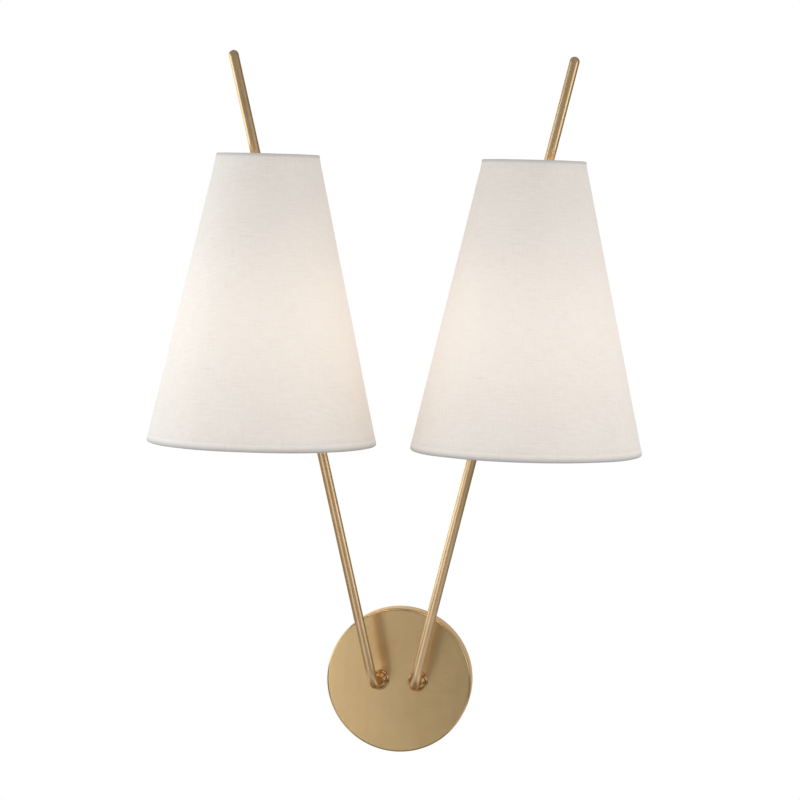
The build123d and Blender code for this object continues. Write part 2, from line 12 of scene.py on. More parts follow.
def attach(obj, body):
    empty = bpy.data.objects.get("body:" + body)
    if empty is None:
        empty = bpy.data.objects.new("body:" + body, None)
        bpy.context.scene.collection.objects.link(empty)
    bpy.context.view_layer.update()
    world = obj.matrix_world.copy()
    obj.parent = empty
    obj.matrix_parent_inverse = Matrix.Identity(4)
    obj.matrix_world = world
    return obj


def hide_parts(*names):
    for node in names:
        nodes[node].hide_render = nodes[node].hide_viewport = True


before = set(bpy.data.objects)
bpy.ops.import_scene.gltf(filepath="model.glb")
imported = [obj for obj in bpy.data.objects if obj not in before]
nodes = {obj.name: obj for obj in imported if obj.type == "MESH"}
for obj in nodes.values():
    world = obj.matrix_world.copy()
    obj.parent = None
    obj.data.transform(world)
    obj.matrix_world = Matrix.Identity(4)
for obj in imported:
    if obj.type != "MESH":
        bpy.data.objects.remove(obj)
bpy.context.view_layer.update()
scene = bpy.context.scene
SIDES = (("left", -1.0), ("right", 1.0))

# ---------------------------------------------------------------- camera
# It stands in front of the light, a little to the right of it and higher than its middle, looks
# slightly down at it, and is rolled by a degree and a half, as in the photograph.
camera_place = Vector((0.26996, -2.35357, 0.40082))
camera_turn_left = math.radians(6.71)
camera_tip = math.radians(-4.08)
camera_roll = math.radians(1.48)
focal_pixels = 2862.28
picture_pixels = 800.0
sensor_width = 36.0


def camera_axes(turn, tip, roll):
    """Right, forward and up: forward is turned left from +Y and tipped, the other two are rolled on it."""
    forward = Vector((-math.sin(turn) * math.cos(tip), math.cos(turn) * math.cos(tip), math.sin(tip)))
    level = Vector((math.cos(turn), math.sin(turn), 0.0))
    above = level.cross(forward)
    right = level * math.cos(roll) + above * math.sin(roll)
    return right, forward, above * math.cos(roll) - level * math.sin(roll)


right_way, forward_way, up_way = camera_axes(camera_turn_left, camera_tip, camera_roll)
camera_data = bpy.data.cameras.new("view")
camera_data.sensor_width = sensor_width
camera_data.lens = focal_pixels / picture_pixels * sensor_width
camera_data.clip_end = 50.0
camera = bpy.data.objects.new("view", camera_data)
camera.matrix_world = Matrix.Translation(camera_place) @ Matrix(
    (right_way, up_way, -forward_way)).transposed().to_4x4()
scene.collection.objects.link(camera)
scene.camera = camera
scene.view_settings.view_transform = "Standard"

# ---------------------------------------------------------------- canopy plate
# A shallow spun cup of brass, 120 mm across, satin brushed and lacquered. It hides the wall box,
# and two socket screws in its rim hold it to the plate behind.


class Reading:
    """A number or colour inside a finish; the operators add the Math nodes that work on it."""

    def __init__(self, finish, socket):
        self.finish = finish
        self.socket = socket

    def _with(self, operation, first, second):
        """What one Math node makes of two values or readings."""
        return self.finish.node("ShaderNodeMath", {"operation": operation}, {0: first, 1: second})

    def __add__(self, other):
        return self._with("ADD", self, other)

    def __radd__(self, other):
        return self._with("ADD", other, self)

    def __sub__(self, other):
        return self._with("SUBTRACT", self, other)

    def __rsub__(self, other):
        return self._with("SUBTRACT", other, self)

    def __mul__(self, other):
        return self._with("MULTIPLY", self, other)

    def __rmul__(self, other):
        return self._with("MULTIPLY", other, self)

    def __truediv__(self, other):
        return self._with("DIVIDE", self, other)

    def __rtruediv__(self, other):
        return self._with("DIVIDE", other, self)

    def __pow__(self, other):
        return self._with("POWER", self, other)

    def clipped(self, low=0.0, high=1.0):
        """Held between two values."""
        return self._with("MINIMUM", self._with("MAXIMUM", self, low), high)


class Finish:
    """One material: a Principled shader, its steady values, and the patterns that feed it."""

    def __init__(self, name, **steady):
        self.material = bpy.data.materials.new(name)
        self.material.use_nodes = True
        self.tree = self.material.node_tree
        self.shader = self.tree.nodes["Principled BSDF"]
        for socket, value in steady.items():
            self.shader.inputs[socket.replace("_", " ")].default_value = value

    def node(self, kind, settings=None, inputs=None, output=0):
        """Add a node, set it, give its inputs values or links, and return one of its outputs."""
        made = self.tree.nodes.new(kind)
        for name, value in (settings or {}).items():
            setattr(made, name, value)
        for key, value in (inputs or {}).items():
            if isinstance(value, Reading):
                self.tree.links.new(value.socket, made.inputs[key])
            else:
                made.inputs[key].default_value = value
        return Reading(self, made.outputs[output])

    def feed(self, **readings):
        """Link readings to the shader's own sockets."""
        for socket, reading in readings.items():
            self.tree.links.new(reading.socket, self.shader.inputs[socket.replace("_", " ")])

    def parts(self, vector):
        """The x, y and z of a vector."""
        return [self.node("ShaderNodeSeparateXYZ", None, {0: vector}, k) for k in range(3)]

    def place(self):
        """A point of the surface as x, y and z in the object's own frame."""
        return self.parts(self.node("ShaderNodeTexCoord", output="Object"))

    def at(self, x, y, z):
        """A vector from three values or readings."""
        return self.node("ShaderNodeCombineXYZ", None, {0: x, 1: y, 2: z})

    def noise(self, where, scale=1.0, detail=2.0, roughness=0.5):
        """Soft random values about one half, with lumps one over scale in size."""
        return self.node("ShaderNodeTexNoise", None,
                         {"Vector": where, "Scale": scale, "Detail": detail, "Roughness": roughness})

    def blend(self, amount, first, second):
        """The first colour where the amount is 0 and the second where it is 1."""
        def paint(value):
            return value if isinstance(value, Reading) else (*value, 1.0)
        return self.node("ShaderNodeMix", {"data_type": "RGBA"},
                         {0: amount, 6: paint(first), 7: paint(second)}, 2)

    def relief(self, height, depth, strength=1.0):
        """A normal from a height of 0 to 1 that stands for a depth in metres."""
        return self.node("ShaderNodeBump", None,
                         {"Height": height, "Distance": depth, "Strength": strength}, "Normal")


def coat(finish, *names):
    """Give the finish to CAD nodes, or to both sides' nodes where a name starts with a star."""
    for name in names:
        wanted = [name] if name[0] != "*" else [f"{side}_{name[1:]}" for side, _ in SIDES]
        for node in wanted:
            for slot in nodes[node].material_slots:
                slot.material = finish.material


plate_light = (0.745, 0.55, 0.29)
plate_deep = (0.635, 0.455, 0.23)
edge_tint = (1.0, 0.80, 0.60, 1.0)  # brass seen at a glancing angle
scratch_along = 60.0               # lumps in a metre, along the brushing and across it
scratch_across = 2600.0
plate_relief = 0.00006


def brushed_plate():
    """Fine level scratches, a noise squeezed in height, over slow clouds of tone and polish."""
    brass = Finish("satin_brass_plate", Metallic=1.0, Specular_Tint=edge_tint)
    x, y, z = brass.place()
    lines = brass.noise(brass.at(x * scratch_along, y * scratch_along, z * scratch_across), 1.0, 3.0, 0.6)
    clouds = brass.noise(brass.at(x, y, z), 38.0, 3.0, 0.55)
    fine = brass.noise(brass.at(x, y, z), 900.0, 1.0)
    bands = brass.noise(brass.at(x * 130.0, 0.0, z * 9.0), 1.0, 1.0)
    tone = ((lines * 0.30 + clouds * 0.30 + bands * 0.40 - 0.5) * 1.5 + 0.5).clipped()
    brass.feed(Base_Color=brass.blend(tone, plate_deep, plate_light),
               Roughness=(0.17 + lines * 0.06 + clouds * 0.06).clipped(),
               Normal=brass.relief(lines * 0.9 + fine * 0.1, plate_relief, 0.8))
    return brass


coat(brushed_plate(), "back_plate")

# ---------------------------------------------------------------- room
# A white sweep, a pale floor far below and a dark card just under the light. For gloss the room is
# dim and warm at its sides, with a bright level band there; three soft lamps light the object.
room_white = 1.0
diffuse_level = 0.78
gloss_side = 0.17                  # the room's level for gloss, where nothing below changes it
gloss_front = 0.36                 # the half that the camera stands in
gloss_back = 0.85                  # towards the wall, brighter to the left
gloss_top = 0.34
gloss_low = 0.22
gloss_beside = 0.28                # low down at both sides
gloss_band = 0.95                  # a level band at both sides, brighter to the left
band_height = 0.06                 # of the band's middle, as the sine of its angle over the horizon
band_narrowness = 8.0
warm_room = (1.0, 0.82, 0.55)      # the tint of the room where it is dim, for gloss
warm_below = 0.34
white = (1.0, 1.0, 1.0)
floor_level = -0.75
floor_size = 3.0

world = bpy.data.worlds.new("room")
world.use_nodes = True
scene.world = world


class Room(Finish):
    """The world's own nodes, worked on as a finish is."""

    def __init__(self, wanted):
        self.tree = wanted.node_tree
        self.shader = self.tree.nodes["Background"]


def light_the_room():
    """White where the camera looks; for gloss, a level by direction; an even level for the rest."""
    room = Room(world)
    across, along, high = room.parts(room.node("ShaderNodeTexCoord", output="Generated"))
    seen = room.node("ShaderNodeLightPath", output="Is Camera Ray")
    glossy = room.node("ShaderNodeLightPath", output="Is Glossy Ray")
    through = room.node("ShaderNodeLightPath", output="Is Transmission Ray")
    ahead = (-0.2 - along * 1.6).clipped()
    behind = ((along - 0.50) * 4.0).clipped()
    above = (high * 2.4 - 0.25).clipped()
    below = (high * -3.2 - 0.45).clipped()
    beside = (1.0 - along * along / (across * across + along * along + 0.001) * 4.0).clipped()
    band = (1.0 - ((high - band_height) * band_narrowness) ** 2).clipped() * beside
    sheen = gloss_side + (gloss_front - gloss_side) * ahead
    sheen = sheen + ((0.95 - across * 1.1).clipped(0.25, 1.6) * gloss_back - sheen) * behind
    sheen = sheen + (gloss_top - sheen) * above
    sheen = sheen + (gloss_low - sheen) * below
    sheen = sheen + (gloss_beside - sheen) * beside * (high * -2.5 - 0.2).clipped()
    sheen = sheen + ((1.0 - across * 0.35) * gloss_band - sheen) * band
    plain = (seen + through).clipped()
    gloss = glossy * (1.0 - plain)
    level = diffuse_level * (0.93 + high * 0.12) * (1.0 - plain) + room_white * plain
    level = level + (sheen - level) * gloss
    tint = room.blend(((warm_below - sheen) * 6.0).clipped() * gloss, white, warm_room)
    room.tree.links.new(level.socket, room.shader.inputs["Strength"])
    room.tree.links.new(tint.socket, room.shader.inputs["Color"])


light_the_room()


def soft_lamp(name, place, target, size, power, colour):
    """A rectangular area lamp that looks at a point; its size is its width and height."""
    data = bpy.data.lights.new(name, "AREA")
    data.shape = "RECTANGLE"
    data.size, data.size_y = size
    data.energy = power
    data.color = colour
    lamp = bpy.data.objects.new(name, data)
    away = (Vector(place) - Vector(target)).normalized()
    turned = away.to_track_quat("Z", "Y").to_matrix().to_4x4()
    lamp.matrix_world = Matrix.Translation(Vector(place)) @ turned
    scene.collection.objects.link(lamp)


middle = (0.0, -0.08, 0.28)        # between the shades
plate_middle = (0.0, 0.0, 0.0)
soft_lamp("left_lamp", (-0.95, -0.12, 0.30), middle, (0.95, 0.55), 2.6, (0.80, 0.93, 1.0))
soft_lamp("right_lamp", (0.92, -0.40, 0.27), middle, (0.60, 0.50), 1.2, (0.96, 0.95, 0.93))
soft_lamp("plate_lamp", (-0.46, -1.0, -0.15), plate_middle, (0.60, 0.50), 0.88, (1.0, 0.96, 0.93))


def level_sheet(name, half_width, front, back, level):
    """A rectangle that faces up, at one height, from its front edge to its back edge."""
    corners = [(-half_width, front, level), (half_width, front, level),
               (half_width, back, level), (-half_width, back, level)]
    mesh = bpy.data.meshes.new(name)
    mesh.from_pydata(corners, [], [(0, 1, 2, 3)])
    sheet = bpy.data.objects.new(name, mesh)
    scene.collection.objects.link(sheet)
    return sheet


def pale_floor():
    """A flat sheet that the camera sees as white, and that is pale grey for light."""
    floor = level_sheet("floor", floor_size / 2, -floor_size / 2, floor_size / 2, floor_level)
    paper = Finish("floor_paper", Roughness=0.9, Base_Color=(0.86, 0.86, 0.86, 1.0))
    glow = paper.node("ShaderNodeEmission", None, {"Color": (*white, 1.0), "Strength": room_white})
    seen = paper.node("ShaderNodeLightPath", output="Is Camera Ray")
    bare = Reading(paper, paper.shader.outputs[0])
    mixed = paper.node("ShaderNodeMixShader", None, {0: seen * 0.85, 1: bare, 2: glow})
    paper.tree.links.new(mixed.socket, paper.tree.nodes["Material Output"].inputs["Surface"])
    floor.data.materials.append(paper.material)


pale_floor()
card_half_width = 0.26
card_front = -0.90
card_back = 0.50
card_level = -0.34
card_brown = (0.22, 0.17, 0.11)    # near the wall, for a painted warm reflection in the arms' bends
card_grey = (0.74, 0.72, 0.69)     # in front


def dark_card():
    """A card under the light that puts shade in the brass's reflections and under the shades: dark brown near
    the wall and paler in front; the camera doesn't see it.
    """
    card = level_sheet("dark_card", card_half_width, card_front, card_back, card_level)
    paint = Finish("brown_card", Roughness=1.0)
    x, y, z = paint.place()
    paint.feed(Base_Color=paint.blend((0.10 - y * 1.2).clipped(), card_brown, card_grey))
    card.data.materials.append(paint.material)
    card.visible_camera = False


dark_card()

# ---------------------------------------------------------------- behind the canopy
# The galvanised plate that screws to the wall box, its angle lugs, the rim screws, the green
# ground screw, the nylon terminal block, the cores and each swivel's fibre washer and nut.


def plated_steel(name, colour, spangle, roughness):
    """Zinc on sheet steel: pale crystals a few millimetres across, each with its own dullness."""
    steel = Finish(name, Metallic=1.0)
    x, y, z = steel.place()
    crystals = steel.node("ShaderNodeTexVoronoi", None, {"Vector": steel.at(x, y, z), "Scale": 260.0})
    grain = steel.noise(steel.at(x, y, z), 1500.0, 2.0)
    dull = tuple(c * (1.0 - spangle) for c in colour)
    steel.feed(Base_Color=steel.blend((crystals * 1.4).clipped(), colour, dull),
               Roughness=(roughness + crystals * 0.15 + grain * 0.06).clipped(),
               Normal=steel.relief(grain, 0.00002, 0.5))
    return steel


def moulding(name, colour, roughness, mottle=0.06, depth=0.00002):
    """Moulded or dipped plastic: one colour with a faint mottle and a fine orange-peel skin."""
    skin = Finish(name, Metallic=0.0)
    x, y, z = skin.place()
    peel = skin.noise(skin.at(x, y, z), 1400.0, 2.0)
    cloud = skin.noise(skin.at(x, y, z), 90.0, 2.0)
    low = tuple(c * (1.0 - mottle) for c in colour)
    skin.feed(Base_Color=skin.blend(cloud, low, colour),
              Roughness=(roughness + (peel - 0.5) * 0.12).clipped(),
              Normal=skin.relief(peel, depth, 0.5))
    return skin


zinc = plated_steel("zinc_steel", (0.62, 0.63, 0.64), 0.22, 0.30)
coat(zinc, "mounting_plate", "rim_lugs", "rim_screws", "terminal_screws", "*locknut", "*holder_nipple")
coat(plated_steel("green_steel", (0.10, 0.42, 0.18), 0.15, 0.34), "ground_screw")
coat(moulding("white_nylon", (0.83, 0.83, 0.79), 0.45), "terminal_block")
coat(moulding("black_insulation", (0.025, 0.025, 0.026), 0.42), "live_leads")
coat(moulding("white_insulation", (0.82, 0.82, 0.79), 0.42), "neutral_leads", "*arm_cable")
coat(moulding("green_insulation", (0.10, 0.42, 0.14), 0.42), "ground_lead")
coat(moulding("red_fibre", (0.40, 0.10, 0.06), 0.75, 0.25, 0.00005), "*swivel_washer")

# ---------------------------------------------------------------- arms
# Stock 8 mm brass tube, brushed along its length, with one easy bend in front of the canopy. The
# turned collar screws on the threaded nipple at the tube's root. The cable leaves inside the shade.
arm_outward_slope = math.tan(math.radians(13.2))
arm_forward_slope = math.tan(math.radians(5.0))
canopy_depth = 0.018
collar_across = 0.016              # from the canopy's middle to each collar's axis
arm_stand_off = 0.036              # from the canopy's face to the corner of the centre line
arm_root_depth = 0.009             # from the wall to the tube's root
arm_tip_height = 0.509             # over the canopy's middle
tube_radius = 0.004
tube_wall = 0.001
tube_steps = 64
bend_length = 0.036
bend_steps = 48
straight_steps = 60
end_margin = 0.0004                # a last ring, so that the end's edge stays crisp
bracket_height = 0.216             # of the cross tube that carries the lampholder
holder_across = 0.106              # of the lampholder's axis
holder_stand_off = 0.099
cable_hole_radius = 0.0025
cable_hole_depth = 0.008           # from the centre line
tube_light = (0.88, 0.660, 0.410)
tube_deep = (0.60, 0.415, 0.21)


def drawn_tube(name, side):
    """Long scratches: a noise stretched along the tube, in a frame that leans as the tube does."""
    brass = Finish(name, Metallic=1.0, Specular_Tint=edge_tint)
    x, y, z = brass.place()
    across = x - z * (side * arm_outward_slope)
    through = y + z * arm_forward_slope
    lines = brass.noise(brass.at(across * 420.0, through * 420.0, z * 5.0), 1.0, 1.0)
    clouds = brass.noise(brass.at(x, y, z), 60.0, 2.0)
    tone = ((lines * 0.70 + clouds * 0.30 - 0.5) * 2.2 + 0.5).clipped()
    brass.feed(Base_Color=brass.blend(tone, tube_deep, tube_light),
               Roughness=(0.25 + lines * 0.06 + clouds * 0.04).clipped(),
               Normal=brass.relief(lines, 0.00002, 0.10))
    return brass


def smooth_object(name, points, faces):
    """An object with these points and four-cornered faces, shaded smooth."""
    mesh = bpy.data.meshes.new(name)
    mesh.from_pydata(points.reshape(-1, 3).tolist(), [], faces.reshape(-1, 4).tolist())
    mesh.polygons.foreach_set("use_smooth", np.ones(len(mesh.polygons), dtype=bool))
    mesh.update()
    made = bpy.data.objects.new(name, mesh)
    scene.collection.objects.link(made)
    return made


def round_mesh(name, grid):
    """A grid of points that closes both ways: each face joins two rows and two columns."""
    rows, columns = grid.shape[:2]
    row = np.arange(rows)[:, None]
    column = np.arange(columns)[None, :]
    next_row, next_column = (row + 1) % rows, (column + 1) % columns
    faces = np.stack([row * columns + column, row * columns + next_column,
                      next_row * columns + next_column, next_row * columns + column], axis=2)
    return smooth_object(name, grid, faces)


def arm_lean(side):
    """The way that the arm goes, for each metre of height."""
    return np.array([side * arm_outward_slope, -arm_forward_slope, 1.0])


def eased_route(side):
    """The arm's centre line and its two normals: straight out of the wall, a bend whose curvature
    is 2 * turn / length * sin(pi * share) ** 2, and straight up to the tip."""
    out = np.array([0.0, -1.0, 0.0])
    rise = arm_lean(side) / np.linalg.norm(arm_lean(side))
    whole = math.acos(out @ rise)
    square = (rise - out * (out @ rise)) / math.sin(whole)
    share = np.linspace(0, 1, bend_steps + 1)
    heading = whole * (share - np.sin(math.tau * share) / math.tau)
    middle_heading = (heading[1:] + heading[:-1]) / 2
    step = bend_length / bend_steps
    forth = np.concatenate([[0], np.cumsum(np.cos(middle_heading) * step)])
    up = np.concatenate([[0], np.cumsum(np.sin(middle_heading) * step)])
    corner = np.array([side * collar_across, -canopy_depth - arm_stand_off, 0.0])
    start = corner - out * (forth[-1] - up[-1] / math.tan(whole))
    bend = start + forth[:, None] * out + up[:, None] * square
    root = np.array([side * collar_across, -arm_root_depth, 0.0])
    tip = corner + arm_lean(side) * arm_tip_height
    end = np.linspace(0, 1, straight_steps + 1)[1:, None]
    near = np.array([[0.0], [end_margin / np.linalg.norm(bend[0] - root)], [0.5]])
    inside = root + (bend[0] - root) * near
    upwards = bend[-1] + (tip - bend[-1]) * end
    upwards = np.concatenate([upwards[:-1], [tip - rise * end_margin], [tip]])
    heading = np.concatenate([np.zeros(len(inside)), heading, np.full(len(upwards), whole)])[:, None]
    outer_normal = square * np.cos(heading) - out * np.sin(heading)
    return np.concatenate([inside, bend, upwards]), outer_normal, np.cross(out, square)


def cable_drill(start, aim):
    """A short rod from a point on the tube's centre line towards the lampholder, to cut a hole with."""
    beside = np.cross(aim, [0.0, 0.0, 1.0])
    above = np.cross(beside, aim)
    turn = np.linspace(0, math.tau, tube_steps, endpoint=False)[:, None]
    rim = start + cable_hole_radius * (beside * np.cos(turn) + above * np.sin(turn))
    corners = np.concatenate([rim, rim + aim * cable_hole_depth])
    around = np.arange(tube_steps)
    after = (around + 1) % tube_steps
    sides = np.stack([around, after, tube_steps + after, tube_steps + around], axis=1).tolist()
    ends = [around[::-1].tolist(), (tube_steps + around).tolist()]
    mesh = bpy.data.meshes.new("drill")
    mesh.from_pydata(corners.tolist(), [], sides + ends)
    drill = bpy.data.objects.new("drill", mesh)
    scene.collection.objects.link(drill)
    return drill


def bent_tube(side_name, side):
    """A tube swept on the eased route, outside and bore, less the hole by which the cable leaves."""
    route, first, second = eased_route(side)
    turn = np.linspace(0, math.tau, tube_steps, endpoint=False)[:, None]
    outer, bore = [route[:, None] + radius * (first[:, None] * np.cos(turn) + second * np.sin(turn))
                   for radius in (tube_radius, tube_radius - tube_wall)]
    tube = round_mesh(f"{side_name}_bent_tube", np.concatenate([outer, bore[::-1]]))
    start = route[-1] + (bracket_height - arm_tip_height) * arm_lean(side)
    aim = np.array([side * holder_across, -holder_stand_off, bracket_height]) - start
    drill = cable_drill(start, aim / np.linalg.norm(aim))
    cut = tube.modifiers.new("cable hole", "BOOLEAN")
    cut.operation = "DIFFERENCE"
    cut.solver = "EXACT"
    cut.object = drill
    holed = bpy.data.meshes.new_from_object(tube.evaluated_get(bpy.context.evaluated_depsgraph_get()))
    tube.modifiers.clear()
    tube.data = holed
    bpy.data.objects.remove(drill)
    return tube


def turned_brass(name):
    """Turned brass: fine tool marks, a noise squeezed in the direction out of the wall."""
    brass = Finish(name, Metallic=1.0, Specular_Tint=edge_tint)
    x, y, z = brass.place()
    rings = brass.noise(brass.at(x * 100.0, y * 5200.0, z * 100.0), 1.0, 1.0)
    clouds = brass.noise(brass.at(x, y, z), 160.0, 2.0)
    brass.feed(Base_Color=brass.blend((rings * 0.4 + clouds * 0.6).clipped(), tube_deep, tube_light),
               Roughness=(0.12 + rings * 0.10 + clouds * 0.04).clipped(),
               Normal=brass.relief(rings, 0.00001, 0.4))
    return brass


collar_flange = 0.00825            # radius of its widest part
collar_easing = 0.0001             # of the flange's rear edge: its width, and its height below
collar_easing_height = 0.0002
collar_groove = 0.0054             # radius between the face and the neck
collar_bore = 0.00402
collar_height = 0.0060
nipple_bore = 0.0050               # radius and height of the wider bore that takes the nipple
nipple_room = 0.0034
collar_crest = 0.0074              # radius of the outer bead on its face
collar_pitch = 0.0015
collar_wave = 0.00045
collar_mean = 0.00175              # height of the face between crest and hollow
face_steps = 34
neck_top = 0.0054                  # height at which the neck's two beads end
neck_bead = 0.00042
neck_steps = 20
lip_radius = 0.0046                # of the flat end, with its edge eased off
lip_easing = 0.00025
collar_steps = 96
collar_hollow_shade = (0.32, 0.23, 0.12)  # painted shade in its hollows
collar_crest_highlight = (0.95, 0.74, 0.48)   # painted highlight on its crests


def ringed_brass(name, side):
    """Polished brass with painted shade in the collar's hollows and painted highlights on its crests: a wave
    of the distance from its axis.
    """
    brass = Finish(name, Metallic=1.0, Specular_Tint=edge_tint)
    x, y, z = brass.place()
    off = x - side * collar_across
    radius = (off * off + z * z) ** 0.5
    turn = (radius - collar_crest) * (math.tau / collar_pitch)
    wave = brass.node("ShaderNodeMath", {"operation": "COSINE"}, {0: turn})
    clouds = brass.noise(brass.at(x, y, z), 400.0, 2.0)
    brass.feed(Base_Color=brass.blend((wave * 0.4 + 0.3 + clouds * 0.4).clipped(), collar_hollow_shade, collar_crest_highlight),
               Roughness=(0.08 + clouds * 0.06).clipped(),
               Normal=brass.relief(clouds, 0.00002, 0.3))
    return brass


def collar_section():
    """The collar's section as radius and height over the canopy, from the wider bore round the flange
    and back. The face is height = mean + wave * cos(tau * (radius - crest) / pitch), and the neck is
    radius = groove + bead * sin(tau * share) ** 2."""
    foot = np.array([[nipple_bore, 0.0], [collar_flange - collar_easing, 0.0],
                     [collar_flange, collar_easing_height]])
    face = np.linspace(collar_flange, collar_groove, face_steps)
    face_height = collar_mean + collar_wave * np.cos(math.tau * (face - collar_crest) / collar_pitch)
    share = np.linspace(0, 1, neck_steps)[1:-1]
    neck = collar_groove + neck_bead * np.sin(share * math.tau) ** 2
    neck_height = face_height[-1] + (neck_top - face_height[-1]) * share
    lip = np.array([[nipple_bore, collar_height - lip_easing], [lip_radius, collar_height],
                    [collar_bore, collar_height], [collar_bore, nipple_room], [nipple_bore, nipple_room]])
    return np.concatenate([foot, np.stack([face, face_height], axis=1)[1:],
                           np.stack([neck, neck_height], axis=1), lip])


def turned_collar(side_name, side):
    """The section turned about the collar's axis, which points straight out of the wall."""
    radius, height = collar_section().T
    turn = np.linspace(0, math.tau, collar_steps, endpoint=False)[:, None]
    grid = np.stack([side * collar_across + radius * np.cos(turn),
                     -canopy_depth - height + 0 * turn,
                     radius * np.sin(turn)], axis=2)
    return round_mesh(f"{side_name}_turned_collar", grid[::-1])


for side_name, side in SIDES:
    tube_finish = drawn_tube(f"satin_brass_{side_name}_arm", side)
    coat(tube_finish, f"{side_name}_arm_sleeve", f"{side_name}_tip_cap")
    tube = bent_tube(side_name, side)
    tube.data.materials.append(tube_finish.material)
    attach(tube, f"{side_name}_arm")
    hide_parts(f"{side_name}_arm_tube")
    collar = turned_collar(side_name, side)
    collar.data.materials.append(ringed_brass(f"ringed_brass_{side_name}", side).material)
    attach(collar, f"{side_name}_arm")
    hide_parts(f"{side_name}_collar")
coat(turned_brass("satin_brass_turned"), "*threaded_nipple", "*cross_tube", "*holder_block", "*holder_cup")

# ---------------------------------------------------------------- lampholders
# Black phenolic with an outside thread; the sprung brass shell and contact sit inside it, and
# a ribbed ring screws down on the thread to clamp the shade.
coat(moulding("black_phenolic", (0.030, 0.029, 0.028), 0.38, 0.3), "*holder_body", "*retaining_ring")
coat(turned_brass("contact_brass"), "*screw_shell", "*centre_contact", "*bulb_cap", "*bulb_contact")

# ---------------------------------------------------------------- lamps
# Small candle lamps of frosted glass with four long glowing filaments, lit and warm.
glow_height = 0.279                # of the filaments' middle
glow_reach = 0.034                 # how far above and below it the glow has halved
lamp_warm = (1.0, 0.80, 0.56)
glass_strength = 6.0
filament_strength = 14.0


def lit_glass():
    """Frosted glass that glows, brightest at the filaments' height and dimmer at both ends."""
    glass = Finish("frosted_glass", Roughness=0.45, IOR=1.5, Emission_Strength=glass_strength)
    x, y, z = glass.place()
    off = (z - glow_height) * (1.0 / glow_reach)
    bright = 1.0 / (1.0 + off * off)
    frost = glass.noise(glass.at(x, y, z), 2200.0, 1.0)
    glass.feed(Base_Color=glass.blend(frost, (0.93, 0.90, 0.85), (0.98, 0.95, 0.90)),
               Emission_Color=glass.blend(bright, (0.42, 0.30, 0.19), lamp_warm),
               Normal=glass.relief(frost, 0.00001, 0.3))
    return glass


def hot_filament():
    """Phosphor-coated rods, glowing; the stem between them is only pale."""
    rod = Finish("filament", Roughness=0.6, Emission_Strength=filament_strength)
    x, y, z = rod.place()
    speck = rod.noise(rod.at(x, y, z), 2600.0, 1.0)
    rod.feed(Base_Color=rod.blend(speck, (0.90, 0.66, 0.28), (0.95, 0.76, 0.38)),
             Emission_Color=rod.blend(speck, (1.0, 0.66, 0.32), (1.0, 0.78, 0.46)))
    return rod


coat(lit_glass(), "*bulb_glass")
coat(hot_filament(), "*bulb_filaments")

# ---------------------------------------------------------------- shade linings and wires
# A white plastic sheet, rolled to a cone, that the linen is glued to, and the white lacquered
# wire rings: three spokes run from the lower one up to the fitter ring on the lampholder.
bottom_radius = 0.092
top_radius = 0.041
bottom_height = 0.202
top_height = 0.430
cone_taper = (bottom_radius - top_radius) / (top_height - bottom_height)
lamp_long_share = 0.66             # how much heights count, beside distances out
reach_area = 0.0049                # square metres; it brings the strongest reach to a little under one
lining_glow = 0.45
unlit = (0.0, 0.0, 0.0)


def lamp_reach(finish, side):
    """How strongly to paint the lamp's light on the skin as a glow: the cone's radius over the cube of the
    distance to the lamp. Heights count less, as the lamp is long, and the side towards the other lamp gets
    more."""
    x, y, z = finish.place()
    radius = bottom_radius - (z - bottom_height) * cone_taper
    rise = (z - glow_height) * lamp_long_share
    reach = radius / (radius * radius + rise * rise) ** 1.5 * reach_area
    inner = (x - side * holder_across) * (-side / bottom_radius)
    return (reach * (0.94 + inner * 0.20)).clipped(0.0, 1.4)


def lit_lining(side_name, side):
    """White plastic: faint rolled streaks, and a painted warm glow for the lamp's light on it."""
    sheet = Finish(f"white_lining_{side_name}", Emission_Strength=lining_glow)
    x, y, z = sheet.place()
    streaks = sheet.noise(sheet.at(x * 25.0, y * 25.0, z * 160.0), 1.0, 2.0)
    glow = (lamp_reach(sheet, side) * 0.7 + 0.05).clipped()
    sheet.feed(Base_Color=sheet.blend(streaks, (0.88, 0.86, 0.82), (0.93, 0.91, 0.87)),
               Emission_Color=sheet.blend(glow, unlit, lamp_warm),
               Roughness=(0.42 + streaks * 0.16).clipped())
    return sheet


def lacquered_wire():
    """White lacquer on wire: a glossy coat of slightly uneven thickness and tone."""
    lacquer = Finish("white_wire", Metallic=0.0, Coat_Weight=0.4, Coat_Roughness=0.12)
    x, y, z = lacquer.place()
    runs = lacquer.noise(lacquer.at(x, y, z), 320.0, 2.0)
    lacquer.feed(Base_Color=lacquer.blend(runs, (0.80, 0.79, 0.76), (0.88, 0.87, 0.85)),
                 Roughness=(0.28 + runs * 0.14).clipped(),
                 Normal=lacquer.relief(runs, 0.00004, 0.5))
    return lacquer


for side_name, side in SIDES:
    coat(lit_lining(side_name, side), f"{side_name}_shade_liner")
coat(lacquered_wire(), "*top_ring", "*bottom_frame")

